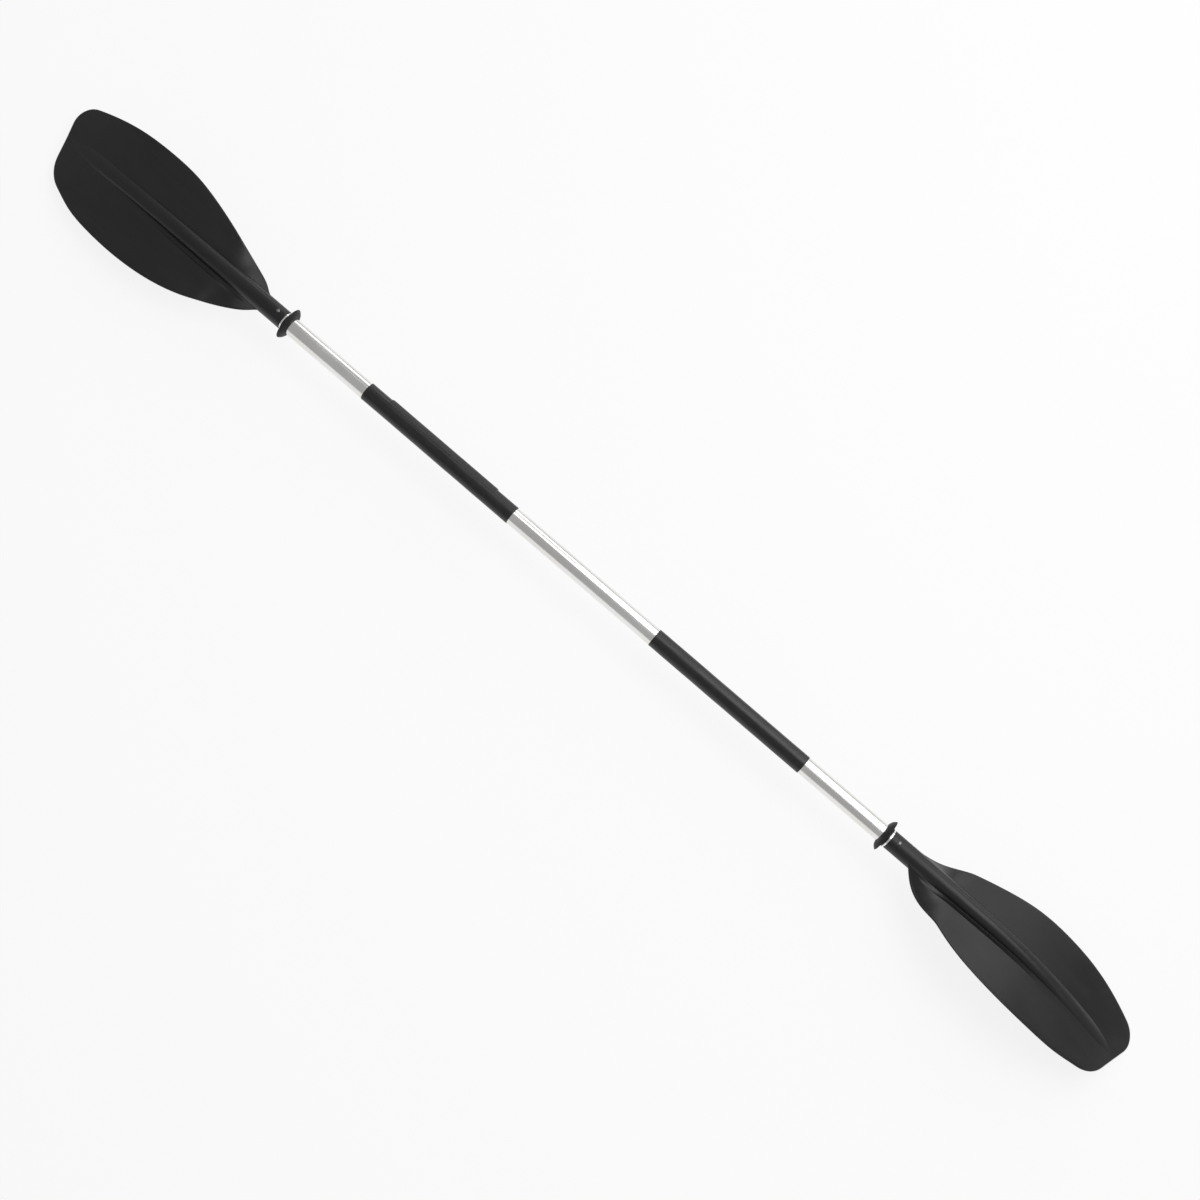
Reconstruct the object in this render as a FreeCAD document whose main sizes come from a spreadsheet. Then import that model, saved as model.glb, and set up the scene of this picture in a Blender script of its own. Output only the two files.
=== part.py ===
"""Two-bladed kayak paddle with feathered blades, as a parametric FreeCAD document.

Row frame: X runs along the shaft, the origin is on the shaft's axis at mid length and +Z is up
when the paddle lies on a floor with its ribbed back faces up. Each blade is turned about the
shaft by half of the feather angle, whose sign gives the hand of the feathering. A clock angle is
counted about the shaft from +Z towards +Y. Lengths are in millimetres, angles in degrees.
"""
import FreeCAD, Part
import math
import os

import Sketcher

V = FreeCAD.Vector
SIDES = {"left": -1, "right": 1}

DIMENSIONS = {
    # shaft
    "tube_radius": 14.5,
    "tube_wall": 1.5,
    "neck_mouth": 610.0,
    "socket_depth": 62.0,
    "feather_angle": -33.6,
    # hand grips, and the index strip under the left one
    "grip_start": 143.0,
    "grip_length": 297.0,
    "grip_wall": 0.6,
    "index_start": 185.0,
    "index_length": 215.0,
    "index_height": 1.75,
    "index_crown": 10.0,
    "index_tape": 0.15,
    "index_clock": 58.0,
    # drip rings
    "ring_clearance": 0.05,
    "ring_gap": 3.0,
    "ring_length": 12.0,
    "ring_hub_wall": 1.7,
    "ring_hub_length": 4.6,
    "ring_rim_radius": 26.5,
    "ring_rim_place": 4.0,
    "ring_rim_width": 1.4,
    "ring_rim_round": 0.75,
    "ring_nose_wall": 1.3,
    "ring_dome_radius": 13.0,
    "ring_back_radius": 12.0,
    # socket of the blade
    "neck_wall": 0.9,
    "neck_length": 78.0,
    "rib_overlap": 8.0,
    "mouth_chamfer": 0.6,
    "socket_floor": 0.5,
    "glue_gap": 0.25,
    "glue_margin": 2.0,
    # bungs in the ends of the tube
    "plug_length": 18.0,
    "plug_flange": 2.5,
    "plug_rim": 0.8,
    "plug_bore": 9.0,
    "plug_floor": 3.0,
    # blind rivets
    "rivet_place": 14.0,
    "rivet_clock": -2.0,
    "rivet_radius": 1.6,
    "rivet_head_radius": 3.0,
    "rivet_head_height": 0.9,
    "rivet_head_edge": 0.3,
    "rivet_dome_radius": 5.0,
    "rivet_seat_depth": 0.3,
    "rivet_seat_margin": 0.2,
    "rivet_tail_radius": 2.5,
    "rivet_tail_height": 2.2,
    "mandrel_radius": 0.9,
    "mandrel_head_radius": 1.4,
    "mandrel_head_height": 1.2,
    "mandrel_recess": 0.2,
    # blade
    "blade_length": 485.0,
    "wing_start": 40.0,
    "long_width": 85.2,
    "short_width": 96.7,
    "end_inset": 11.0,
    "end_slant": 20.0,
    "long_corner": 32.0,
    "short_corner": 66.0,
    "spoon_start": 195.0,
    "spoon_radius": 763.0,
    "root_thickness": 5.0,
    "edge_thickness": 2.6,
    "wing_rise": 3.1,
    "rib_length": 466.0,
    # scoop beside the neck, where the wings' outer parts hang down
    "long_scoop_angle": 45.0,
    "long_scoop_full": 58.0,
    "long_scoop_end": 138.0,
    "short_scoop_angle": 50.0,
    "short_scoop_full": 50.0,
    "short_scoop_end": 132.0,
}

# Edges of the wings from their start to the blade's end: share of that length, share of the half
# width. The last place along is set by the end's slanted line instead.
LONG_EDGE = [(0.0, 0.147), (0.049, 0.306), (0.103, 0.414), (0.175, 0.542), (0.265, 0.698),
             (0.36, 0.838), (0.472, 0.958), (0.607, 0.999), (0.742, 0.973), (0.854, 0.884),
             (1.0, 0.657)]
SHORT_EDGE = [(0.0, 0.14), (0.049, 0.292), (0.103, 0.442), (0.175, 0.639), (0.265, 0.817),
              (0.36, 0.93), (0.517, 1.0), (0.652, 0.978), (0.764, 0.899), (0.854, 0.758),
              (1.0, 0.641)]

# Rib from inside the neck to its point: share of that length, then its half width and its height
# above the middle of the blade's thickness, both as shares of the neck's radius.
RIB_SECTIONS = [(0.0, 1.0, 0.998), (0.161, 0.97, 0.965), (0.342, 0.93, 0.89), (0.497, 0.89, 0.76),
                (0.641, 0.86, 0.60), (0.785, 0.84, 0.43), (0.904, 0.85, 0.27), (1.0, 0.80, 0.145)]

SPOON_STEPS = 5
SCOOP_STEPS = 10
SPARE = 1.1
NEAR = 0.01

NECK_RADIUS = "(dims.tube_radius + dims.glue_gap + dims.neck_wall)"
TUBE_END = "(dims.neck_mouth + dims.socket_depth)"
TUBE_INSIDE = "(dims.tube_radius - dims.tube_wall)"
RIVET_PLACE = "(dims.neck_mouth + dims.rivet_place)"
RIVET_SEAT = "(%s - dims.rivet_seat_depth)" % NECK_RADIUS
RIVET_TAIL = "(sqrt(%s ^ 2 - dims.rivet_tail_radius ^ 2) - %s)" % (TUBE_INSIDE, RIVET_SEAT)


def make_sheet(doc):
    """Spreadsheet of driving dimensions: names in column A, values in column B."""
    sheet = doc.addObject("Spreadsheet::Sheet", "dims")
    for row, (name, value) in enumerate(DIMENSIONS.items(), start=1):
        sheet.set("A%d" % row, name)
        sheet.set("B%d" % row, str(value))
        sheet.setAlias("B%d" % row, name)
    doc.recompute()
    return sheet


def bind(obj, **expressions):
    """Tie properties to expressions; a double underscore in a name stands for a dot."""
    for name, expression in expressions.items():
        obj.setExpression(name.replace("__", "."), expression)


def outward(side, start, length):
    """Lower end along X of a stretch that runs outward on one side, as an expression."""
    if side > 0:
        return "(%s)" % start
    return "(-(%s) - (%s))" % (start, length)


def rod(doc, name, radius, start, length):
    """Cylinder along +X from start."""
    cylinder = doc.addObject("Part::Cylinder", name)
    cylinder.Placement = FreeCAD.Placement(V(0, 0, 0), FreeCAD.Rotation(V(0, 1, 0), 90))
    bind(cylinder, Radius=radius, Height=length, Placement__Base__x=start)
    return cylinder


def spoke(doc, name, radius, place, inner, height, clock):
    """Cylinder that stands out from the X axis at a clock angle."""
    cylinder = doc.addObject("Part::Cylinder", name)
    bind(cylinder, Radius=radius, Height=height)
    stand_at_clock(cylinder, place, inner, clock)
    return cylinder


def stand_at_clock(obj, place, inner, clock):
    """Put an object's Z axis along a clock angle, its origin at a place and a distance out."""
    obj.Placement = FreeCAD.Placement(V(0, 0, 0), FreeCAD.Rotation(V(-1, 0, 0), 1))
    bind(obj,
         Placement__Rotation__Angle=clock,
         Placement__Base__x=place,
         Placement__Base__y="(%s) * sin(%s)" % (inner, clock),
         Placement__Base__z="(%s) * cos(%s)" % (inner, clock))


def face_inward(body, side, place):
    """Put a turned body so that its X axis points to the middle of the shaft."""
    body.Placement = FreeCAD.Placement(V(0, 0, 0), FreeCAD.Rotation(V(0, 0, 1), 90 + side * 90))
    bind(body, Placement__Base__x="%d * (%s)" % (side, place))


def cut(doc, name, base, tool):
    """Base with tool taken away."""
    result = doc.addObject("Part::Cut", name)
    result.Base = base
    result.Tool = tool
    return result


def fuse(doc, name, shapes):
    """Several shapes as one solid."""
    result = doc.addObject("Part::MultiFuse", name)
    result.Shapes = shapes
    return result


def arc_between(start, end, radius, bulge):
    """Arc of a given radius from start to end; bulge is the unit vector that it bows towards."""
    half = (end - start).Length / 2
    rise = radius - math.sqrt(max(radius ** 2 - half ** 2, 0))
    return Part.Arc(start, (start + end) * 0.5 + bulge * rise, end)


def turned_body(doc, label, corners, arcs=None, axis="X"):
    """PartDesign body turned about its own X or Z axis.

    corners are the closed profile's (place along the axis, radius) pairs of expressions. arcs maps
    a side's number to its radius and to 1 where it bows out or -1 where it is hollow.
    """
    arcs = arcs or {}
    body = doc.addObject("PartDesign::Body", label)
    sketch = body.newObject("Sketcher::SketchObject", label + "_profile")
    roles = {feature.Role: feature for feature in body.Origin.OriginFeatures}
    sketch.AttachmentSupport = [(roles["XY_Plane" if axis == "X" else "XZ_Plane"], "")]
    sketch.MapMode = "FlatFace"
    if axis == "Z":
        corners = [(radius, place) for place, radius in corners]
    points = [V(sketch.evalExpression(x), sketch.evalExpression(y), 0) for x, y in corners]
    area = sum(here.x * there.y - there.x * here.y
               for here, there in zip(points, points[1:] + points[:1]))
    ends = []
    for side, start in enumerate(points):
        end = points[(side + 1) % len(points)]
        line = end - start
        if side in arcs:
            radius, bow = arcs[side]
            outside = V(line.y, -line.x, 0).normalize() * math.copysign(bow, bow * area)
            curve = arc_between(start, end, sketch.evalExpression(radius), outside)
        else:
            curve = Part.LineSegment(start, end)
        sketch.addGeometry(curve)
        forward = sketch.getPoint(side, 1).distanceToPoint(start) < NEAR
        ends.append((1, 2) if forward else (2, 1))
    for side, (first, last) in enumerate(ends):
        following = (side + 1) % len(points)
        sketch.addConstraint(
            Sketcher.Constraint("Coincident", side, last, following, ends[following][0]))
        for kind, expression, value, origin_line in (
                ("DistanceX", corners[side][0], points[side].x, -2),
                ("DistanceY", corners[side][1], points[side].y, -1)):
            if expression == "0":
                sketch.addConstraint(
                    Sketcher.Constraint("PointOnObject", side, first, origin_line))
                continue
            number = sketch.addConstraint(Sketcher.Constraint(kind, -1, 1, side, first, value))
            sketch.setExpression("Constraints[%d]" % number, expression)
    for side, (radius, bow) in arcs.items():
        value = sketch.evalExpression(radius)
        number = sketch.addConstraint(Sketcher.Constraint("Radius", side, value))
        sketch.setExpression("Constraints[%d]" % number, radius)
    turned = body.newObject("PartDesign::Revolution", label + "_turned")
    turned.Profile = sketch
    turned.ReferenceAxis = (roles[axis + "_Axis"], [""])
    turned.Angle = 360.0
    body.Tip = turned
    return body


def rivet_holes(doc, name, sides):
    """Tool for the rivet holes of the given sides, in the row frame."""
    holes = [spoke(doc, "%s_%s" % (name, side_name), "dims.rivet_radius",
                   "%d * %s" % (SIDES[side_name], RIVET_PLACE), "0", "2 * dims.tube_radius",
                   "dims.rivet_clock")
             for side_name in sides]
    return holes[0] if len(holes) == 1 else fuse(doc, name, holes)


def add_shaft(doc):
    """Aluminium tube from the bottom of one socket to the bottom of the other."""
    outside = rod(doc, "shaft_outside", "dims.tube_radius", "-" + TUBE_END, "2 * " + TUBE_END)
    inside = rod(doc, "shaft_inside", TUBE_INSIDE, "-" + TUBE_END, "2 * " + TUBE_END)
    wall = cut(doc, "shaft_wall", outside, inside)
    cut(doc, "shaft_tube", wall, rivet_holes(doc, "shaft_holes", list(SIDES)))


def index_form(doc, name, growth):
    """Long half-round crest on the left part of the shaft, grown by a thickness."""
    crest = rod(doc, name + "_crest", "dims.index_crown + %s" % growth,
                "-dims.index_start - dims.index_length - %s" % growth,
                "dims.index_length + 2 * %s" % growth)
    rise = "(dims.tube_radius + dims.index_height - dims.index_crown)"
    bind(crest,
         Placement__Base__y=rise + " * sin(dims.index_clock)",
         Placement__Base__z=rise + " * cos(dims.index_clock)")
    return crest


def add_index_strip(doc):
    """Index strip that lets a hand feel the blade's angle, and the tape that holds it."""
    start = "-dims.index_start - dims.index_length"
    tape_outside = "dims.tube_radius + dims.index_tape"
    seat = rod(doc, "index_strip_seat", tape_outside, start, "dims.index_length")
    cut(doc, "index_strip", index_form(doc, "index_strip", "0"), seat)
    band = rod(doc, "index_tape_outside", tape_outside, start, "dims.index_length")
    strap = doc.addObject("Part::Common", "index_tape_strap")
    strap.Base = index_form(doc, "index_tape", "0")
    strap.Tool = band
    tube = rod(doc, "index_tape_inside", "dims.tube_radius", start, "dims.index_length")
    cut(doc, "index_tape", strap, tube)


def add_grip(doc, side_name):
    """Shrink sleeve on the tube; the left one also runs over the index strip."""
    label = side_name + "_grip_sleeve"
    start = outward(SIDES[side_name], "dims.grip_start", "dims.grip_length")
    skin = rod(doc, label + "_outside", "dims.tube_radius + dims.grip_wall", start,
               "dims.grip_length")
    room = rod(doc, label + "_inside", "dims.tube_radius", start, "dims.grip_length")
    if side_name == "left":
        skin = fuse(doc, label + "_skin", [skin, index_form(doc, label + "_over",
                                                            "dims.grip_wall")])
        room = fuse(doc, label + "_room", [room, index_form(doc, label + "_under", "0")])
    cut(doc, label, skin, room)


def add_drip_ring(doc, side_name):
    """Rubber ring: a short hub on the blade's side and a domed flange, hollow at its back."""
    bore = "dims.tube_radius + dims.ring_clearance"
    hub = "dims.tube_radius + dims.ring_hub_wall"
    corners = [("0", bore),
               ("dims.ring_length", bore),
               ("dims.ring_length", "dims.tube_radius + dims.ring_nose_wall"),
               ("dims.ring_rim_place + dims.ring_rim_width", "dims.ring_rim_radius"),
               ("dims.ring_rim_place", "dims.ring_rim_radius"),
               ("dims.ring_hub_length", hub),
               ("0", hub)]
    arcs = {2: ("dims.ring_dome_radius", 1),
            3: ("dims.ring_rim_round", 1),
            4: ("dims.ring_back_radius", -1)}
    ring = turned_body(doc, side_name + "_drip_ring", corners, arcs)
    face_inward(ring, SIDES[side_name], "dims.neck_mouth - dims.ring_gap")


def add_plug(doc, side_name):
    """Bung in the end of the tube: a flange over the end and a body that is hollow inside."""
    floor = "dims.plug_flange + dims.plug_floor"
    inner_end = "dims.plug_flange + dims.plug_length"
    flange = "dims.tube_radius - dims.plug_rim"
    corners = [("0", "0"),
               ("0", flange),
               ("dims.plug_flange", flange),
               ("dims.plug_flange", TUBE_INSIDE),
               (inner_end, TUBE_INSIDE),
               (inner_end, "dims.plug_bore"),
               (floor, "dims.plug_bore"),
               (floor, "0")]
    plug = turned_body(doc, side_name + "_tube_plug", corners)
    face_inward(plug, SIDES[side_name], TUBE_END + " + dims.plug_flange")


def add_glue(doc, side_name):
    """Layer of adhesive between the socket and the tube, open where the rivet passes."""
    label = side_name + "_socket_glue"
    length = "(dims.socket_depth - 2 * dims.glue_margin)"
    start = outward(SIDES[side_name], "dims.neck_mouth + dims.glue_margin", length)
    outside = rod(doc, label + "_outside", "dims.tube_radius + dims.glue_gap", start, length)
    inside = rod(doc, label + "_inside", "dims.tube_radius", start, length)
    layer = cut(doc, label + "_layer", outside, inside)
    cut(doc, label, layer, rivet_holes(doc, label + "_hole", [side_name]))


def add_rivet(doc, side_name):
    """Blind rivet through neck, glue and tube, and the mandrel stem that stays in it."""
    place = "%d * %s" % (SIDES[side_name], RIVET_PLACE)
    tail_end = "(%s - dims.rivet_tail_height)" % RIVET_TAIL
    corners = [(tail_end, "dims.mandrel_radius"),
               ("dims.rivet_head_height", "dims.mandrel_radius"),
               ("dims.rivet_head_edge", "dims.rivet_head_radius"),
               ("0", "dims.rivet_head_radius"),
               ("0", "dims.rivet_radius"),
               (RIVET_TAIL, "dims.rivet_radius"),
               (RIVET_TAIL, "dims.rivet_tail_radius"),
               (tail_end, "dims.rivet_tail_radius")]
    rivet = turned_body(doc, side_name + "_blade_rivet", corners,
                        {1: ("dims.rivet_dome_radius", 1)}, axis="Z")
    stand_at_clock(rivet, place, RIVET_SEAT, "dims.rivet_clock")
    top = "dims.rivet_head_height - dims.mandrel_recess"
    corners = [(tail_end + " - dims.mandrel_head_height", "0"),
               (top, "0"),
               (top, "dims.mandrel_radius"),
               (tail_end, "dims.mandrel_radius"),
               (tail_end, "dims.mandrel_head_radius"),
               (tail_end + " - dims.mandrel_head_height", "dims.mandrel_head_radius")]
    mandrel = turned_body(doc, side_name + "_rivet_mandrel", corners, axis="Z")
    stand_at_clock(mandrel, place, RIVET_SEAT, "dims.rivet_clock")


def spoon_level(size, station):
    """Height of the middle of the blade's thickness over the shaft's axis, 0 or below it."""
    run = max(0.0, station - size["spoon_start"])
    return math.sqrt(size["spoon_radius"] ** 2 - run ** 2) - size["spoon_radius"]


def smooth_step(value, start, end):
    """0 before start, 1 after end and a smooth rise between them."""
    share = min(1.0, max(0.0, (value - start) / (end - start)))
    return share * share * (3 - 2 * share)


def scoop_slope(size, hand, station):
    """Slope with which a wing hangs down beyond the neck's side; hand is long or short."""
    steepest = math.tan(math.radians(size[hand + "_scoop_angle"]))
    return steepest * (1 - smooth_step(station, size[hand + "_scoop_full"],
                                       size[hand + "_scoop_end"]))


def neck_radius(size):
    """Outer radius of the socket's neck."""
    return size["tube_radius"] + size["glue_gap"] + size["neck_wall"]


def wing_section(size, side, station, reach):
    """Closed cross-section of both wings: thick at the rib, thin at the edges."""
    middle = spoon_level(size, station)
    root = size["root_thickness"] / 2
    thinning = (root - size["edge_thickness"] / 2) / reach
    rise = math.tan(math.radians(size["wing_rise"]))
    flank = neck_radius(size)
    line = [(-reach, scoop_slope(size, "short", station)), (-flank, 0), (0, 0), (flank, 0),
            (reach, scoop_slope(size, "long", station))]
    upper = []
    lower = []
    for across, slope in line:
        out = abs(across)
        level = middle + rise * out - slope * max(0, out - flank)
        half = root - thinning * out
        upper.append(V(side * station, across, level + half))
        lower.append(V(side * station, across, level - half))
    points = upper + lower[::-1]
    return Part.makePolygon(points + points[:1])


def smooth_edge(points):
    """Edge along a smooth curve through points."""
    curve = Part.BSplineCurve()
    curve.interpolate(points)
    return curve.toShape()


def outline_prism(size, side):
    """Upright prism over the blade's outline, with its two end corners rounded."""
    length = size["blade_length"]
    start = size["wing_start"]

    def edge_points(shares, half_width):
        return [V(side * (start + along * (length - start)), across * half_width, 0)
                for along, across in shares]

    long_edge = edge_points(LONG_EDGE, size["long_width"])
    short_edge = edge_points(SHORT_EDGE, -size["short_width"])
    slant = math.tan(math.radians(size["end_slant"]))
    corners = long_edge[-1], short_edge[-1]
    for corner in corners:
        corner.x = side * (length - size["end_inset"] + slant * corner.y)
    wire = Part.Wire([smooth_edge(long_edge),
                      Part.makeLine(*corners),
                      smooth_edge(short_edge[::-1]),
                      Part.makeLine(short_edge[0], long_edge[0])])
    prism = Part.Face(wire).extrude(V(0, 0, 2 * length))
    prism.translate(V(0, 0, -length))
    for corner, radius in zip(corners, (size["long_corner"], size["short_corner"])):
        upright = [edge for edge in prism.Edges
                   if all(math.hypot(vertex.X - corner.x, vertex.Y - corner.y) < NEAR
                          for vertex in edge.Vertexes)]
        prism = prism.makeFillet(radius, upright)
    return prism


def wing_shape(size, side):
    """Both wings of a blade as one solid, from inside the neck to the blade's end."""
    reach = SPARE * max(size["long_width"], size["short_width"])
    bend = size["spoon_start"]
    bent = SPARE * size["blade_length"] - bend
    start = size["wing_start"] / 2
    scooped = bend - start
    stations = [start + scooped * step / SCOOP_STEPS for step in range(SCOOP_STEPS + 1)]
    stations += [bend + bent * step / SPOON_STEPS for step in range(1, SPOON_STEPS + 1)]
    sections = [wing_section(size, side, station, reach) for station in stations]
    return Part.makeLoft(sections, True, False).common(outline_prism(size, side))


def add_rib(doc, name, side):
    """Rib that carries the neck's round form along the blade and ends in a point."""
    start = "(dims.neck_length - dims.rib_overlap)"
    sections = []
    for number, (along, across, height) in enumerate(RIB_SECTIONS, start=1):
        station = "(%s + (dims.rib_length - %s) * %s)" % (start, start, along)
        run = "max(0; %s - dims.spoon_start)" % station
        section = doc.addObject("Part::Ellipse", "%s_section_%d" % (name, number))
        upright = FreeCAD.Rotation(V(0, 1, 0), V(0, 0, 1), V(1, 0, 0))
        section.Placement = FreeCAD.Placement(V(0, 0, 0), upright)
        bind(section,
             MajorRadius="%s * %s" % (across, NECK_RADIUS),
             MinorRadius="%s * %s" % (height, NECK_RADIUS),
             Placement__Base__x="%d * %s" % (side, station),
             Placement__Base__z="sqrt(dims.spoon_radius ^ 2 - (%s) ^ 2) - dims.spoon_radius" % run)
        sections.append(section)
    rib = doc.addObject("Part::Loft", name)
    rib.Sections = sections
    rib.Solid = True
    return rib


def add_blade(doc, size, side_name):
    """Blade moulding: socket neck, rib and wings, bored for the tube and its rivet."""
    side = SIDES[side_name]
    label = side_name + "_blade"
    wings = doc.addObject("Part::Feature", label + "_wings")
    wings.Shape = wing_shape(size, side)
    rib = add_rib(doc, label + "_rib", side)
    straight = "(dims.neck_length - dims.mouth_chamfer)"
    neck = rod(doc, label + "_neck", NECK_RADIUS,
               outward(side, "dims.mouth_chamfer", straight), straight)
    lip = doc.addObject("Part::Cone", label + "_lip")
    lip.Placement = FreeCAD.Placement(V(0, 0, 0), FreeCAD.Rotation(V(0, 1, 0), side * 90))
    bind(lip, Radius1=NECK_RADIUS + " - dims.mouth_chamfer", Radius2=NECK_RADIUS,
         Height="dims.mouth_chamfer")
    moulding = fuse(doc, label + "_moulding", [neck, lip, rib, wings])
    bore_length = "(dims.socket_depth + dims.plug_flange + dims.socket_floor)"
    bore = rod(doc, label + "_bore", "dims.tube_radius + dims.glue_gap",
               outward(side, "0", bore_length), bore_length)
    clock = "(dims.rivet_clock + %d * dims.feather_angle / 2)" % side
    place = "%d * dims.rivet_place" % side
    hole = spoke(doc, label + "_rivet_hole", "dims.rivet_radius", place, "0",
                 "2 * dims.tube_radius", clock)
    seat = spoke(doc, label + "_rivet_seat", "dims.rivet_head_radius + dims.rivet_seat_margin",
                 place, RIVET_SEAT, "dims.tube_radius", clock)
    openings = fuse(doc, label + "_openings", [bore, hole, seat])
    blade = cut(doc, label, moulding, openings)
    blade.Placement = FreeCAD.Placement(V(0, 0, 0), FreeCAD.Rotation(V(1, 0, 0), 1))
    bind(blade,
         Placement__Rotation__Angle="%d * dims.feather_angle / 2" % side,
         Placement__Base__x="%d * dims.neck_mouth" % side)


def check(doc, nodes):
    """Stop if any object has failed or any sub-part has no valid solid."""
    for obj in doc.Objects:
        if "Invalid" in obj.State or "Error" in obj.State:
            raise RuntimeError("%s failed: %s" % (obj.Label, obj.State))
    for node in nodes:
        shape = node.Shape
        if shape.isNull() or not shape.isValid() or not shape.Solids:
            raise RuntimeError("%s has no valid solid" % node.Label)


doc = FreeCAD.newDocument("kayak_paddle")
sheet = make_sheet(doc)
size = {name: float(sheet.get(name)) for name in DIMENSIONS}

add_shaft(doc)
add_index_strip(doc)
for side_name in SIDES:
    add_blade(doc, size, side_name)
    add_grip(doc, side_name)
    add_drip_ring(doc, side_name)
    add_plug(doc, side_name)
    add_glue(doc, side_name)
    add_rivet(doc, side_name)
doc.recompute()

PAIRED = ["blade", "grip_sleeve", "drip_ring", "tube_plug", "socket_glue", "blade_rivet",
          "rivet_mandrel"]
LABELS = ["shaft_tube", "index_strip", "index_tape"]
LABELS += ["%s_%s" % (side_name, piece) for side_name in SIDES for piece in PAIRED]
nodes = [doc.getObjectsByLabel(label)[0] for label in LABELS]
check(doc, nodes)

os.makedirs("parts", exist_ok=True)
for node in nodes:
    node.Shape.exportStep(os.path.join("parts", node.Label + ".step"))
    box = node.Shape.BoundBox
    print("%-22s %9.1f mm3  x %.1f..%.1f  y %.1f..%.1f  z %.1f..%.1f" % (
        node.Label, node.Shape.Volume, box.XMin, box.XMax, box.YMin, box.YMax, box.ZMin, box.ZMax))
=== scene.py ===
"""Looks of a two-bladed kayak paddle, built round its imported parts.

Row frame: X along the shaft, +Z up when the paddle lies with its ribbed back faces up, metres. A
blade is worked out in its own frame, in millimetres: along from the mouth of its neck, across
towards its long edge, and up out of its back face.
"""

import math

import bpy
import numpy as np
from mathutils import Matrix, Vector


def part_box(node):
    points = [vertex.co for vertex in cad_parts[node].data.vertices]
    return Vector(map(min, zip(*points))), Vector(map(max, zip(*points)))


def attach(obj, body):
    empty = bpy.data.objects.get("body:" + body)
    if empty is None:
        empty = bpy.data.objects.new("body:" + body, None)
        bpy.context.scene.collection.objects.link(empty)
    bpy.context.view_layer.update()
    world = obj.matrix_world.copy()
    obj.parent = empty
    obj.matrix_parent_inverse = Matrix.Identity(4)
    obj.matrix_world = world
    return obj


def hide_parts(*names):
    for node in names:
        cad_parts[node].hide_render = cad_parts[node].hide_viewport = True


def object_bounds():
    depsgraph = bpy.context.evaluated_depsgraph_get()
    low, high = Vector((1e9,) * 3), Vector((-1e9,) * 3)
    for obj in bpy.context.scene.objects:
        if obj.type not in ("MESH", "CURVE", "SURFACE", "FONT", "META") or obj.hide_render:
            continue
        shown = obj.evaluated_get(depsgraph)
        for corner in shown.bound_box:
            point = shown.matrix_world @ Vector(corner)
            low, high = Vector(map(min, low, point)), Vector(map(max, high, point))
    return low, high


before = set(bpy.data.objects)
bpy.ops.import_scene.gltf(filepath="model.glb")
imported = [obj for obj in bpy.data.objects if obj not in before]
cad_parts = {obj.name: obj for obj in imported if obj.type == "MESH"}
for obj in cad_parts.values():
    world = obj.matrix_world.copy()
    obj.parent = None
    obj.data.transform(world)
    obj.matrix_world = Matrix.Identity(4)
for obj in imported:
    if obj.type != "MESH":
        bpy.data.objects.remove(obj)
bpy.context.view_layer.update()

MM = 0.001
SIDES = {"left": -1, "right": 1}

# Sizes of the paddle, in millimetres and degrees.
TUBE_RADIUS = 14.5
NECK_RADIUS = 15.65
NECK_BORE = 14.75
SOCKET_DEPTH = 65.0
NECK_LIP = 0.6
NECK_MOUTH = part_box("right_blade")[0].x / MM
HALF_FEATHER = -16.8
BLADE_LENGTH = 485.0
WING_START = 40.0
LONG_WIDTH = 85.2
SHORT_WIDTH = 96.7
END_PLACE = 474.0
END_SLANT = math.tan(math.radians(20.0))
LONG_CORNER = 32.0
SHORT_CORNER = 66.0
SPOON_START = 195.0
SPOON_RADIUS = 763.0
ROOT_HALF = 2.5
EDGE_HALF = 1.3
WING_RISE = math.tan(math.radians(3.1))
WING_REACH = 106.4
# Scoop beside the neck on each hand: its steepest slope, and where that starts to fade and is gone.
SCOOPS = {1: (math.tan(math.radians(45.0)), 58.0, 138.0),
          -1: (math.tan(math.radians(50.0)), 50.0, 132.0)}
RIB_START = 70.0
RIB_END = 466.0

# Edges of the wings: share of the way from their start to the end, share of the half width.
LONG_EDGE = [(0.0, 0.147), (0.049, 0.306), (0.103, 0.414), (0.175, 0.542), (0.265, 0.698),
             (0.36, 0.838), (0.472, 0.958), (0.607, 0.999), (0.742, 0.973), (0.854, 0.884),
             (1.0, 0.657)]
SHORT_EDGE = [(0.0, 0.14), (0.049, 0.292), (0.103, 0.442), (0.175, 0.639), (0.265, 0.817),
              (0.36, 0.93), (0.517, 1.0), (0.652, 0.978), (0.764, 0.899), (0.854, 0.758),
              (1.0, 0.641)]
# Rib: share of the way along, half width and height as shares of the neck's radius.
RIB = [(0.0, 1.0, 0.998), (0.161, 0.97, 0.965), (0.342, 0.93, 0.89), (0.497, 0.89, 0.76),
       (0.641, 0.86, 0.60), (0.785, 0.84, 0.43), (0.904, 0.85, 0.27), (1.0, 0.80, 0.145)]


# ---------------------------------------------------------------- curves

def natural_spline(knots, values):
    """Natural cubic spline through values at knots, as a function."""
    knots = np.asarray(knots, float)
    values = np.asarray(values, float)
    step = np.diff(knots)
    count = len(knots)
    system = np.eye(count)
    right = np.zeros(count)
    for i in range(1, count - 1):
        system[i, i - 1:i + 2] = step[i - 1], 2 * (step[i - 1] + step[i]), step[i]
        right[i] = 6 * ((values[i + 1] - values[i]) / step[i]
                        - (values[i] - values[i - 1]) / step[i - 1])
    bend = np.linalg.solve(system, right)

    def curve(at):
        at = np.asarray(at, float)
        i = np.clip(np.searchsorted(knots, at) - 1, 0, count - 2)
        before, after = at - knots[i], knots[i + 1] - at
        return ((bend[i] * after ** 3 + bend[i + 1] * before ** 3) / (6 * step[i])
                + (values[i] / step[i] - bend[i] * step[i] / 6) * after
                + (values[i + 1] / step[i] - bend[i + 1] * step[i] / 6) * before)

    return curve


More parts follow.
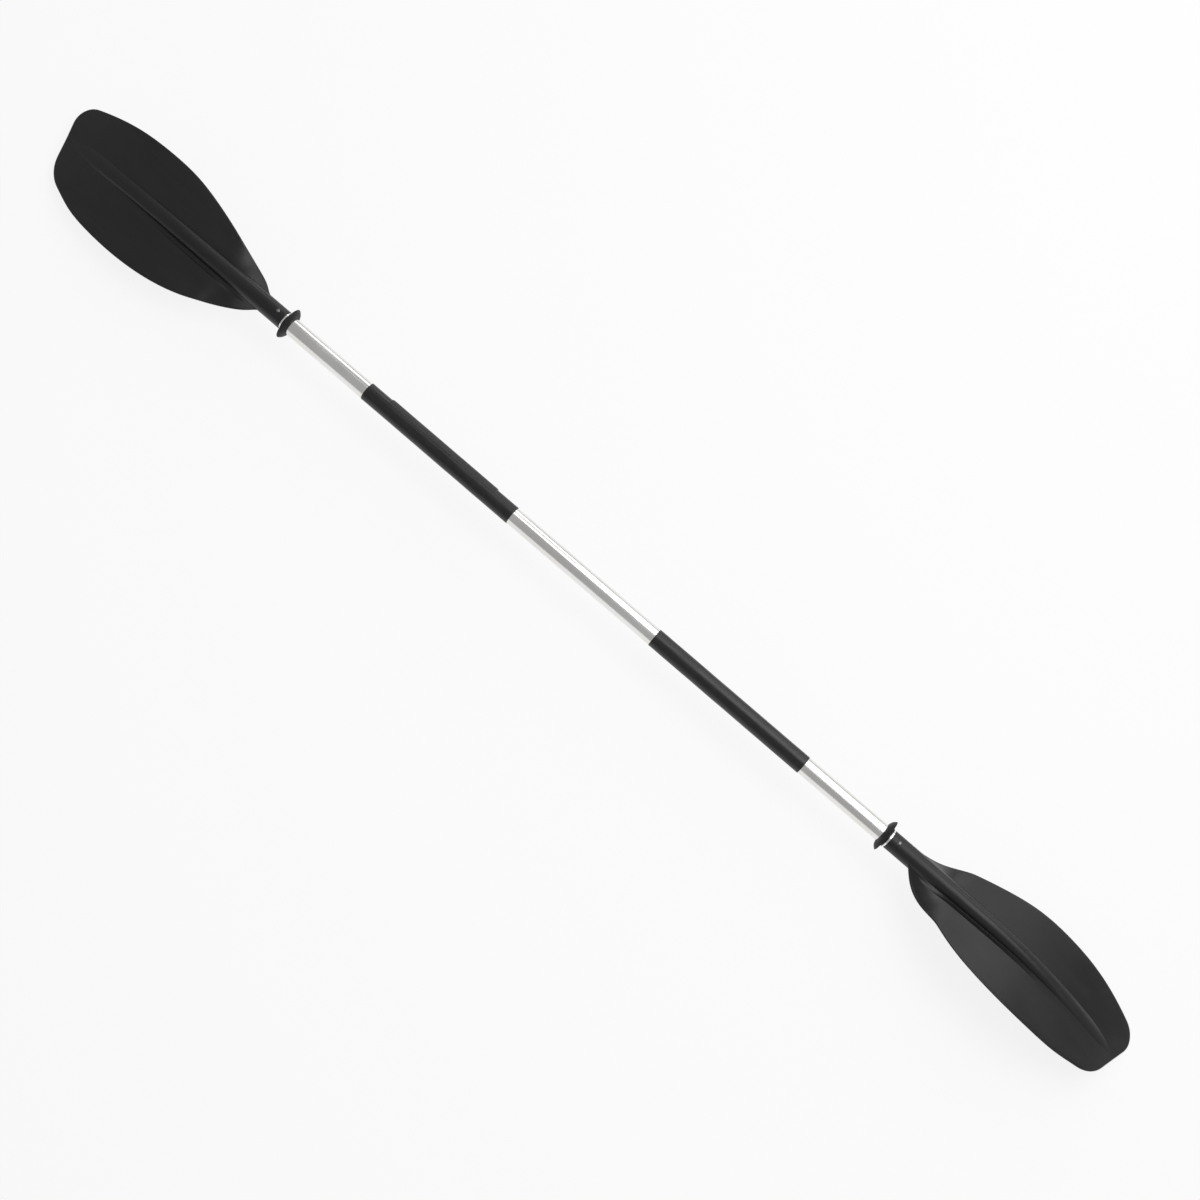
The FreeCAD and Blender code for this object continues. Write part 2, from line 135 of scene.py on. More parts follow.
def smooth_line(points, count):
    """Many points along a smooth curve through a few."""
    points = np.asarray(points, float)
    places = np.concatenate([[0], np.cumsum(np.linalg.norm(np.diff(points, axis=0), axis=1))])
    at = np.linspace(0, places[-1], count)
    return np.stack([natural_spline(places, points[:, axis])(at) for axis in (0, 1)], axis=1)


def even_points(line, count):
    """The same polyline with its points evenly spaced."""
    places = np.concatenate([[0], np.cumsum(np.linalg.norm(np.diff(line, axis=0), axis=1))])
    at = np.linspace(0, places[-1], count)
    return np.stack([np.interp(at, places, line[:, axis]) for axis in (0, 1)], axis=1)


def fade(value, start, end):
    """Smooth step from 0 at start to 1 at end."""
    share = np.clip((np.asarray(value, float) - start) / (end - start), 0, 1)
    return share * share * (3 - 2 * share)


rib_places = [RIB_START + share * (RIB_END - RIB_START) for share, _, _ in RIB]
rib_width = natural_spline(rib_places, [NECK_RADIUS * width for _, width, _ in RIB])
rib_height = natural_spline(rib_places, [NECK_RADIUS * height for _, _, height in RIB])


def rib_half_width(along):
    return np.where(along < RIB_START, NECK_RADIUS, rib_width(np.maximum(along, RIB_START)))


def rib_rise(along):
    return np.where(along < RIB_START, NECK_RADIUS, rib_height(np.maximum(along, RIB_START)))


def spoon(along):
    """Height of the middle of the blade's thickness."""
    run = np.maximum(0, along - SPOON_START)
    return np.sqrt(SPOON_RADIUS ** 2 - run ** 2) - SPOON_RADIUS


def scoop(along, across):
    """How far a wing hangs down beside the neck."""
    out = np.maximum(0, np.abs(across) - NECK_RADIUS)
    sides = [steep * (1 - fade(along, full, end)) for steep, full, end in (SCOOPS[1], SCOOPS[-1])]
    return out * np.where(across > 0, *sides)


def wing_level(along, across, face):
    """Height of a wing's surface without its groove; face is 1 for the back face, -1 for the front."""
    out = np.abs(across) / WING_REACH
    half = ROOT_HALF + out * (EDGE_HALF - ROOT_HALF)
    return spoon(along) - scoop(along, across) + WING_RISE * np.abs(across) + face * half


# Groove beside the rib on the back face: its width and depth on each side of the blade.
GROOVES = {1: (6.0, 0.0), -1: (9.0, 2.4)}


def groove_depth(along, share, hand):
    """Depth of the groove at a share of its width away from the rib."""
    depth = GROOVES[hand][1] * fade(along, 62, 85) * (1 - fade(along, 210, 370))
    return depth * np.clip(1 - share ** 3, 0, 1)


def crease(along, face):
    """How far across the rib meets the wings at a place along."""
    low = np.zeros_like(along)
    high = rib_half_width(along)
    for _ in range(40):
        middle = (low + high) / 2
        rib_top = rib_rise(along) * np.sqrt(np.maximum(0, 1 - (middle / rib_half_width(along)) ** 2))
        above = rib_top > face * (wing_level(along, middle, face) - spoon(along))
        low = np.where(above, middle, low)
        high = np.where(above, high, middle)
    return (low + high) / 2


# ---------------------------------------------------------------- outline of the blade

def rounded_corner(side_line, hand, radius):
    """Arc between a side line and the end's slanted line: where it leaves the side, and its points."""
    along_end = Vector((END_SLANT, 1.0)).normalized()
    inward = Vector((-along_end.y, along_end.x))
    base = Vector((END_PLACE, 0.0)) + inward * radius
    low, high = 0.0, 1.3 * max(LONG_WIDTH, SHORT_WIDTH)
    for _ in range(50):
        middle = (low + high) / 2
        centre = base + along_end * (hand * middle)
        gap = np.linalg.norm(side_line - np.array(centre), axis=1).min()
        inside = abs(centre.y) < abs(np.interp(centre.x, side_line[:, 0], side_line[:, 1]))
        if gap > radius and inside:
            low = middle
        else:
            high = middle
    nearest = int(np.linalg.norm(side_line - np.array(centre), axis=1).argmin())
    first = side_line[nearest] - np.array(centre)
    last = np.array(-inward * radius)
    start = math.atan2(first[1], first[0])
    turn = (math.atan2(last[1], last[0]) - start + math.pi) % (2 * math.pi) - math.pi
    angles = start + turn * np.linspace(0, 1, 40)
    arc = np.array(centre) + radius * np.stack([np.cos(angles), np.sin(angles)], axis=1)
    return nearest, arc


def half_outline(edge, width, hand, radius, rows):
    """Outline of one wing from the neck to the middle of the blade's end, evenly spaced."""
    span = BLADE_LENGTH - WING_START
    points = [(WING_START + share * span, hand * reach * width) for share, reach in edge]
    points[-1] = (END_PLACE + END_SLANT * points[-1][1], points[-1][1])
    side_line = smooth_line(points, 2000)
    nearest, arc = rounded_corner(side_line, hand, radius)
    line = np.concatenate([side_line[:nearest], arc, [[END_PLACE, 0.0]]])
    leaves = int(np.argmax(np.abs(line[:, 1]) > NECK_RADIUS))
    return even_points(line[leaves:], rows)


# ---------------------------------------------------------------- blade mesh

ROWS = 120
RIB_STEPS = 28
GROOVE_STEPS = 7
WING_STEPS = 22
EDGE_STEPS = 6
SEW_DISTANCE = 1e-6


def wing_columns():
    """Shares of the way from the crease to the groove's lip, and from the lip to the edge."""
    groove = np.linspace(0, 1, GROOVE_STEPS + 1) ** 1.4
    rest = np.linspace(0, 1, WING_STEPS + 1)[1:] ** 1.5
    return groove, rest


def wing_grid(hand, rows_inner, outline):
    """Points of one wing, row by row: back face from crease to edge, round it, and back."""
    tangent = np.gradient(outline, axis=0)
    normal = np.stack([-tangent[:, 1], tangent[:, 0]], axis=1) * hand
    normal /= np.linalg.norm(normal, axis=1)[:, None]
    normal[-1] = np.array([1.0, -END_SLANT]) / math.hypot(1.0, END_SLANT)
    groove, rest = wing_columns()
    rows = []
    for row, along in enumerate(rows_inner):
        edge_half = ROOT_HALF + abs(outline[row, 1]) / WING_REACH * (EDGE_HALF - ROOT_HALF)
        rim = outline[row] - normal[row] * edge_half
        faces = []
        for face in (1, -1):
            reach = float(crease(np.array([along]), face)[0]) if row < len(rows_inner) - 1 else 0.0
            inner = np.array([along, hand * reach])
            away = rim - inner
            length = np.linalg.norm(away)
            width = GROOVES[hand][0] + (6.0 - GROOVES[hand][0]) * fade(along, 300, 410)
            lip = min(width, 0.3 * length) / max(length, 1e-9)
            shares = np.concatenate([groove * lip, lip + rest * (1 - lip)])
            plan = inner + shares[:, None] * away
            height = wing_level(plan[:, 0], plan[:, 1], face)
            if face == 1:
                depth = np.concatenate([groove_depth(plan[:len(groove), 0], groove, hand),
                                        np.zeros(len(rest))])
                height = height - depth
            faces.append(np.column_stack([plan, height]))
        top, bottom = faces
        middle = (top[-1] + bottom[-1]) / 2
        half = (top[-1][2] - bottom[-1][2]) / 2
        turns = np.pi / 2 - np.pi * np.arange(1, EDGE_STEPS) / EDGE_STEPS
        outward = np.array([normal[row][0], normal[row][1], 0.0])
        rounded = (middle + edge_half * np.cos(turns)[:, None] * outward
                   + half * np.sin(turns)[:, None] * np.array([0, 0, 1.0]))
        rows.append(np.concatenate([top, rounded, bottom[::-1]]))
    return np.array(rows)


def blade_loops():
    """Closed cross-loops of the blade from the mouth of the neck to the rib's point."""
    outlines = {1: half_outline(LONG_EDGE, LONG_WIDTH, 1, LONG_CORNER, ROWS),
                -1: half_outline(SHORT_EDGE, SHORT_WIDTH, -1, SHORT_CORNER, ROWS)}
    root = min(outlines[1][0, 0], outlines[-1][0, 0])
    tips = np.linspace(RIB_START, RIB_END, 2000)
    tip = tips[int(np.argmax(rib_rise(tips) < ROOT_HALF + 0.02))]
    inner = root + (tip - root) * np.linspace(0, 1, ROWS)
    wings = {hand: wing_grid(hand, inner, outlines[hand]) for hand in (1, -1)}
    phases = np.linspace(0, np.pi, RIB_STEPS + 1)[1:-1]
    loops = []
    for row, along in enumerate(inner):
        width = float(rib_half_width(np.array(along)))
        rise = float(rib_rise(np.array(along)))
        parts = []
        for face in (1, -1):
            reach = float(crease(np.array([along]), face)[0])
            across = face * -reach * np.cos(phases)
            height = float(spoon(along)) + face * rise * np.sqrt(1 - (across / width) ** 2)
            parts.append(np.column_stack([np.full(len(phases), along), across, height]))
        plus = wings[1][row]
        minus = wings[-1][row][::-1]
        # back face of the rib runs from -across to +across, then the long wing, the back, the short wing
        loops.append(np.concatenate([parts[0], plus, parts[1], minus]))
    return loops, root


def neck_loop(along, radius, pattern):
    """Circle of the neck whose points stand at the angles of the first winged loop."""
    angles = np.arctan2(pattern[:, 2], pattern[:, 1])
    return np.column_stack([np.full(len(pattern), along), radius * np.cos(angles),
                            radius * np.sin(angles)])


def spread_pattern(first):
    """Angles of the first loop, with the wing's points spread over the side of the neck."""
    wing_points = 2 * (GROOVE_STEPS + 1 + WING_STEPS) + EDGE_STEPS - 1
    rib_points = RIB_STEPS - 1
    pattern = first.copy()
    for begin in (rib_points, 2 * rib_points + wing_points):
        block = slice(begin, begin + wing_points)
        angles = np.arctan2(pattern[block, 2], pattern[block, 1]) % (2 * np.pi)
        if begin == rib_points:
            angles = (angles + np.pi) % (2 * np.pi) - np.pi
        spread = np.linspace(angles[0], angles[-1], wing_points)
        pattern[block, 1] = NECK_RADIUS * np.cos(spread)
        pattern[block, 2] = NECK_RADIUS * np.sin(spread)
    return pattern


def blade_mesh(name, side):
    """Mesh of one blade in the row frame."""
    loops, root = blade_loops()
    pattern = spread_pattern(loops[0])
    loops[0] = neck_loop(root, NECK_RADIUS, pattern)
    lip = [math.radians(90 * step / 4) for step in range(5)]
    neck = sorted((NECK_LIP * (1 - math.sin(turn)), NECK_RADIUS - NECK_LIP * (1 - math.cos(turn)))
                  for turn in lip)
    bore = [(SOCKET_DEPTH, NECK_BORE), (SOCKET_DEPTH / 2, NECK_BORE), (0.4, NECK_BORE),
            (0.0, NECK_BORE + 0.3)]
    straight = list(np.linspace(NECK_LIP, root, 14)[1:-1])
    before = [neck_loop(a, r, pattern) for a, r in bore]
    before += [neck_loop(a, r, pattern) for a, r in neck]
    before += [neck_loop(a, NECK_RADIUS, pattern) for a in straight]
    loops = before + loops
    count = len(loops[0])
    points = np.concatenate(loops + [np.array([[SOCKET_DEPTH, 0.0, 0.0]])])
    faces = []
    for row in range(len(loops) - 1):
        for i in range(count):
            here, there = row * count + i, row * count + (i + 1) % count
            faces.append((here, there, there + count, here + count))
    floor = len(points) - 1
    faces += [(floor, (i + 1) % count, i) for i in range(count)]
    # both wings end in the same row, so the last loop is folded onto itself and its halves are sewn
    turn = math.radians(side * HALF_FEATHER)
    x = side * (NECK_MOUTH + points[:, 0])
    y = points[:, 1] * math.cos(turn) - points[:, 2] * math.sin(turn)
    z = points[:, 1] * math.sin(turn) + points[:, 2] * math.cos(turn)
    return make_mesh(name, np.column_stack([x, y, z]) * MM, faces, sew=SEW_DISTANCE)


def make_mesh(name, points, faces, sew=None):
    """Smooth closed mesh object with outward normals."""
    import bmesh
    mesh = bpy.data.meshes.new(name)
    mesh.from_pydata([tuple(p) for p in points], [], faces)
    shape = bmesh.new()
    shape.from_mesh(mesh)
    if sew:
        bmesh.ops.remove_doubles(shape, verts=shape.verts, dist=sew)
        bmesh.ops.dissolve_degenerate(shape, dist=sew, edges=shape.edges)
    bmesh.ops.recalc_face_normals(shape, faces=shape.faces)
    for face in shape.faces:
        face.smooth = True
    shape.to_mesh(mesh)
    shape.free()
    piece = bpy.data.objects.new(name, mesh)
    bpy.context.scene.collection.objects.link(piece)
    return piece


# ---------------------------------------------------------------- turned pieces

def looped_mesh(name, rings):
    """Closed mesh through rings of points whose last ring meets the first again."""
    rings = np.asarray(rings, float)
    rows, count = rings.shape[:2]
    faces = [(row * count + i, row * count + (i + 1) % count,
              (row + 1) % rows * count + (i + 1) % count, (row + 1) % rows * count + i)
             for row in range(rows) for i in range(count)]
    return make_mesh(name, rings.reshape(-1, 3) * MM, faces)


def circle(x, radii, angles):
    """Points round the shaft's axis; angles run from +Y towards +Z."""
    radii = np.broadcast_to(radii, angles.shape)
    return np.column_stack([np.full(len(angles), x), radii * np.cos(angles), radii * np.sin(angles)])


def bow(start, end, radius, towards, count):
    """Points of an arc between two points of a profile, without its first point."""
    start, end, towards = (np.asarray(v, float) for v in (start, end, towards))
    chord = end - start
    half = np.linalg.norm(chord) / 2
    across = np.array([-chord[1], chord[0]]) / (2 * half)
    across *= math.copysign(1.0, across @ towards)
    centre = (start + end) / 2 - across * math.sqrt(radius ** 2 - half ** 2)
    first, last = start - centre, end - centre
    turn = math.atan2(first[0] * last[1] - first[1] * last[0], first @ last)
    angles = math.atan2(first[1], first[0]) + turn * np.arange(1, count + 1) / count
    return list(zip(centre[0] + radius * np.cos(angles), centre[1] + radius * np.sin(angles)))


RING_GAP = 3.0
RING_BORE = 14.55
RING_LENGTH = 12.0


def ring_profile():
    """Section of a drip ring: place from its blade side, then radius."""
    line = [(0.35, RING_BORE), (3.0, RING_BORE), (6.0, RING_BORE), (9.0, RING_BORE),
            (RING_LENGTH - 0.3, RING_BORE)]
    line += bow(line[-1], (RING_LENGTH, RING_BORE + 0.3), 0.35, (1, -1), 3)
    line += bow(line[-1], (RING_LENGTH - 0.35, 16.05), 0.7, (1, 1), 4)
    line += bow(line[-1], (5.55, 26.3), 13.0, (1, 1), 22)
    line += bow(line[-1], (4.7, 26.98), 0.85, (1, 1), 4)
    line += bow(line[-1], (3.98, 26.35), 0.75, (-1, 1), 4)
    line += bow(line[-1], (4.9, 17.1), 12.0, (1, 0), 18)
    line += bow(line[-1], (4.2, 16.25), 0.95, (1, -1), 5)
    line += [(3.0, 16.2), (1.8, 16.2), (0.5, 16.2)]
    line += bow(line[-1], (0.0, 15.7), 0.5, (-1, 1), 4)
    line += [(0.0, 15.0)]
    line += bow(line[-1], (0.35, RING_BORE), 0.5, (-1, -1), 3)
    return line[:-1]


TURNS = 2 * np.pi * np.arange(160) / 160

SLEEVE_WALL = 0.6
SLEEVE_START, SLEEVE_LENGTH = 143.0, 297.0
CREST_START, CREST_LENGTH, CREST_RADIUS, CREST_PLACE = 185.0, 215.0, 10.0, 6.25
CREST_CLOCK = math.radians(58.0)


def sleeve_radii(side, place, growth):
    """Radii of a sleeve's skin round the shaft at a place, lifted where it covers the index strip."""
    plain = TUBE_RADIUS + growth
    if side > 0:
        return np.full(len(TURNS), plain)
    away = TURNS - (np.pi / 2 - CREST_CLOCK)
    radius = CREST_RADIUS + growth
    crest = CREST_PLACE * np.cos(away) + np.sqrt(radius ** 2 - (CREST_PLACE * np.sin(away)) ** 2)
    lift = fade(place, CREST_START - 1.5, CREST_START + 2.5)
    lift = lift * (1 - fade(place, CREST_START + CREST_LENGTH - 2.5, CREST_START + CREST_LENGTH + 1.5))
    rise = crest - plain
    return plain + lift * (rise + np.sqrt(rise ** 2 + 0.12)) / 2


def sleeve_mesh(name, side, start, length):
    """Heat-shrunk sleeve with soft cut ends, a slightly uneven skin and a bore on the tube."""
    places = np.linspace(0, length, 150)
    places = np.unique(np.concatenate([places, [0.15, 0.4, 0.9, 1.8, 3.0, length - 3.0,
                                                length - 1.8, length - 0.9, length - 0.4,
                                                length - 0.15]]))
    if side < 0:
        near = [CREST_START - start + shift for shift in np.linspace(-3, 4, 15)]
        far = [CREST_START + CREST_LENGTH - start + shift for shift in np.linspace(-4, 3, 15)]
        places = np.unique(np.concatenate([places, near, far]))
    rings = []
    for place in places:
        edge = min(place, length - place)
        round_off = 0.35 * (1 - math.sqrt(max(0.0, 1 - (1 - min(edge, 0.9) / 0.9) ** 2)))
        flare = 0.10 * math.exp(-((edge - 2.2) / 1.4) ** 2)
        uneven = 0.05 * np.sin(3 * TURNS + place / 19.0) * math.sin(place / 27.0 + side)
        taper = float(fade(edge, 0.0, 6.0))
        radii = sleeve_radii(side, start + place, SLEEVE_WALL) + flare - round_off + uneven * taper
        rings.append(circle(side * (start + place), radii, TURNS))
    for place in (length, length * 0.5, 0.0):
        radii = sleeve_radii(side, start + place, 0.02)
        rings.append(circle(side * (start + place), radii, TURNS))
    return looped_mesh(name, rings)


def ring_mesh(name, side):
    """Drip ring at its place of rest."""
    outer = NECK_MOUTH - RING_GAP
    rings = [circle(side * (outer - place), radius, TURNS) for place, radius in ring_profile()]
    return looped_mesh(name, rings)


# ---------------------------------------------------------------- materials

class Look:
    """Material with a Principled shader and procedural detail in the piece's own coordinates."""

    def __init__(self, name, colour, roughness, metallic=0.0, sheen=None):
        self.material = bpy.data.materials.new(name)
        self.material.use_nodes = True
        self.tree = self.material.node_tree
        self.shader = self.tree.nodes["Principled BSDF"]
        self.shader.inputs["Base Color"].default_value = (*colour, 1.0)
        self.shader.inputs["Roughness"].default_value = roughness
        self.shader.inputs["Metallic"].default_value = metallic
        if sheen is not None:
            self.shader.inputs["Specular IOR Level"].default_value = sheen
        self.place = self.tree.nodes.new("ShaderNodeTexCoord").outputs["Object"]
        self.relief = None

    def link(self, source, target):
        self.tree.links.new(source, target)

    def stretched(self, scale):
        """Coordinates scaled along each axis."""
        node = self.tree.nodes.new("ShaderNodeMapping")
        node.inputs["Scale"].default_value = scale
        self.link(self.place, node.inputs["Vector"])
        return node.outputs["Vector"]

    def noise(self, scale, detail=3.0, rough=0.55, warp=0.0):
        node = self.tree.nodes.new("ShaderNodeTexNoise")
        node.inputs["Scale"].default_value = 1.0
        node.inputs["Detail"].default_value = detail
        node.inputs["Roughness"].default_value = rough
        node.inputs["Distortion"].default_value = warp
        self.link(self.stretched(scale), node.inputs["Vector"])
        return node.outputs["Fac"]

    def cells(self, scale, feature="DISTANCE_TO_EDGE"):
        node = self.tree.nodes.new("ShaderNodeTexVoronoi")
        node.feature = feature
        node.inputs["Scale"].default_value = 1.0
        self.link(self.stretched(scale), node.inputs["Vector"])
        return node.outputs["Distance"]

    def between(self, source, low, high, to_low, to_high):
        """Map a range of a value to another range."""
        node = self.tree.nodes.new("ShaderNodeMapRange")
        node.interpolation_type = "SMOOTHSTEP"
        for name, value in (("From Min", low), ("From Max", high), ("To Min", to_low),
                            ("To Max", to_high)):
            node.inputs[name].default_value = value
        self.link(source, node.inputs["Value"])
        return node.outputs["Result"]

    def total(self, first, second, how="ADD"):
        node = self.tree.nodes.new("ShaderNodeMath")
        node.operation = how
        self.link(first, node.inputs[0])
        self.link(second, node.inputs[1])
        return node.outputs[0]

    def colours(self, source, first, second, low=0.35, high=0.65):
        """Blend two colours by a value and give the result to the shader."""
        node = self.tree.nodes.new("ShaderNodeMix")
        node.data_type = "RGBA"
        node.inputs["A"].default_value = (*first, 1.0)
        node.inputs["B"].default_value = (*second, 1.0)
        self.link(self.between(source, low, high, 0.0, 1.0), node.inputs["Factor"])
        self.link(node.outputs["Result"], self.shader.inputs["Base Color"])

    def roughness(self, source):
        self.link(source, self.shader.inputs["Roughness"])

    def bump(self, source, distance, strength=1.0):
        """Relief of a height in millimetres, laid over the reliefs before it."""
        node = self.tree.nodes.new("ShaderNodeBump")
        node.inputs["Strength"].default_value = strength
        node.inputs["Distance"].default_value = distance * MM
        self.link(source, node.inputs["Height"])
        if self.relief is not None:
            self.link(self.relief, node.inputs["Normal"])
        self.relief = node.outputs["Normal"]
        self.link(self.relief, self.shader.inputs["Normal"])


def aluminium_look():
    look = Look("drawn_aluminium", (0.83, 0.82, 0.80), 0.24, 1.0)
    drawn = look.noise((6, 900, 900), 4.0, 0.6)
    haze = look.noise((14, 30, 30), 3.0)
    look.colours(haze, (0.80, 0.79, 0.77), (0.86, 0.855, 0.84))
    look.roughness(look.total(look.between(haze, 0.3, 0.7, 0.17, 0.24),
                              look.between(drawn, 0.3, 0.7, 0.0, 0.06)))
    look.bump(drawn, 0.004, 0.5)
    scratches = look.noise((3, 260, 260), 1.0, 0.4, 0.6)
    look.bump(look.between(scratches, 0.66, 0.70, 0.0, -1.0), 0.006, 0.5)
    return look


def plastic_look():
    look = Look("blade_plastic", (0.006, 0.0055, 0.0065), 0.40, 0.0, 0.5)
    flow = look.noise((5, 26, 26), 4.0, 0.6, 0.8)
    patches = look.noise((9, 12, 12), 2.0)
    look.colours(flow, (0.0045, 0.0042, 0.0052), (0.0085, 0.0075, 0.0088))
    wiped = look.between(patches, 0.35, 0.65, 0.33, 0.42)
    streaks = look.between(flow, 0.3, 0.7, -0.03, 0.05)
    look.roughness(look.total(wiped, streaks))
    look.bump(look.noise((18, 50, 50), 2.0), 0.05, 0.5)
    look.bump(look.noise((1400, 1400, 1400), 2.0), 0.012, 0.6)
    scuffs = look.noise((14, 420, 420), 1.0, 0.3, 1.2)
    look.bump(look.between(scuffs, 0.70, 0.74, 0.0, -1.0), 0.02, 0.6)
    return look


def sleeve_look():
    look = Look("grip_sleeve", (0.010, 0.010, 0.011), 0.34, 0.0, 0.5)
    drawn = look.noise((60, 160, 160), 3.0)
    look.colours(drawn, (0.008, 0.008, 0.009), (0.013, 0.013, 0.014))
    worn = look.noise((16, 40, 40), 3.0)
    look.roughness(look.between(worn, 0.3, 0.7, 0.27, 0.40))
    look.bump(look.noise((40, 90, 90), 2.0), 0.05, 0.5)
    look.bump(look.noise((900, 1500, 1500), 2.0), 0.008, 0.6)
    return look


def rubber_look():
    look = Look("ring_rubber", (0.011, 0.011, 0.011), 0.55, 0.0, 0.4)
    dust = look.noise((90, 90, 90), 4.0)
    look.colours(dust, (0.008, 0.008, 0.008), (0.020, 0.019, 0.018), 0.45, 0.8)
    look.roughness(look.between(dust, 0.3, 0.7, 0.48, 0.66))
    look.bump(look.noise((700, 700, 700), 3.0), 0.03, 0.6)
    return look


def rivet_look():
    look = Look("rivet_metal", (0.20, 0.19, 0.20), 0.42, 1.0)
    worn = look.noise((500, 500, 500), 4.0)
    look.colours(worn, (0.10, 0.095, 0.10), (0.30, 0.29, 0.29))
    look.roughness(look.between(worn, 0.3, 0.7, 0.36, 0.55))
    look.bump(look.noise((1800, 1800, 1800), 2.0), 0.01, 0.6)
    return look


def mandrel_look():
    look = Look("mandrel_steel", (0.34, 0.33, 0.32), 0.38, 1.0)
    broken = look.noise((2400, 2400, 2400), 4.0)
    look.colours(broken, (0.24, 0.23, 0.22), (0.42, 0.41, 0.40))
    look.roughness(look.between(broken, 0.3, 0.7, 0.30, 0.50))
    look.bump(broken, 0.03, 0.7)
    return look


def plug_look():
    look = Look("plug_plastic", (0.05, 0.05, 0.052), 0.5)
    grain = look.noise((300, 300, 300), 3.0)
    look.colours(grain, (0.042, 0.042, 0.045), (0.062, 0.061, 0.062))
    look.roughness(look.between(grain, 0.3, 0.7, 0.42, 0.58))
    look.bump(look.noise((1500, 1500, 1500), 2.0), 0.02, 0.6)
    return look


def strip_look():
    look = Look("strip_plastic", (0.28, 0.28, 0.27), 0.5)
    drawn = look.noise((12, 500, 500), 3.0)
    look.colours(drawn, (0.25, 0.25, 0.24), (0.32, 0.32, 0.31))
    look.roughness(look.between(drawn, 0.3, 0.7, 0.42, 0.56))
    look.bump(drawn, 0.02, 0.6)
    return look


def glue_look():
    look = Look("socket_glue", (0.42, 0.33, 0.17), 0.3)
    cloud = look.noise((70, 70, 70), 3.0)
    look.colours(cloud, (0.34, 0.26, 0.12), (0.50, 0.41, 0.24))
    look.roughness(look.between(cloud, 0.3, 0.7, 0.22, 0.42))
    look.bump(look.between(look.cells((300, 300, 300), "F1"), 0.0, 0.25, -1.0, 0.0), 0.04, 0.6)
    return look


def tape_look():
    look = Look("index_tape", (0.62, 0.60, 0.55), 0.6)
    weave = look.total(look.noise((2500, 60, 60), 2.0), look.noise((60, 2500, 2500), 2.0))
    look.colours(weave, (0.55, 0.53, 0.48), (0.70, 0.68, 0.63), 0.8, 1.2)
    look.roughness(look.between(weave, 0.7, 1.3, 0.5, 0.72))
    look.bump(weave, 0.02, 0.6)
    return look


aluminium = aluminium_look()
plastic = plastic_look()
sleeve = sleeve_look()
rubber = rubber_look()
NODE_LOOKS = {"shaft_tube": aluminium, "index_strip": strip_look(), "index_tape": tape_look(),
              "grip_sleeve": sleeve, "drip_ring": rubber, "tube_plug": plug_look(),
              "socket_glue": glue_look(), "blade_rivet": rivet_look(),
              "rivet_mandrel": mandrel_look(), "_blade": plastic}

for node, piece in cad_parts.items():
    look = next(look for part, look in NODE_LOOKS.items() if node.endswith(part))
    piece.data.materials.clear()
    piece.data.materials.append(look.material)


# ---------------------------------------------------------------- pieces on their bodies

def dress(piece, look, body, node):
    """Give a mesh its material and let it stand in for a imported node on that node's body."""
    piece.data.materials.append(look.material)
    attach(piece, body)
    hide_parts(node)


for side_name, side in SIDES.items():
    blade = blade_mesh(side_name + "_blade_moulding", side)
    dress(blade, plastic, "paddle", side_name + "_blade")
    ring = ring_mesh(side_name + "_ring_rubber", side)
    dress(ring, rubber, side_name + "_ring", side_name + "_drip_ring")
    grip = sleeve_mesh(side_name + "_grip_skin", side, SLEEVE_START, SLEEVE_LENGTH)
    dress(grip, sleeve, "paddle", side_name + "_grip_sleeve")


# ---------------------------------------------------------------- floor, lights and camera

VIEW_TILT = math.radians(-20.7)
VIEW_TURN = math.radians(3.7)
ROLL = (0.759, 0.651)
facing = Vector((0, math.sin(VIEW_TILT), math.cos(VIEW_TILT)))
sideways = Vector((0, math.cos(VIEW_TILT), -math.sin(VIEW_TILT)))
along_view = Vector((1, 0, 0)) * math.cos(VIEW_TURN) - facing * math.sin(VIEW_TURN)
towards = Vector((1, 0, 0)) * math.sin(VIEW_TURN) + facing * math.cos(VIEW_TURN)

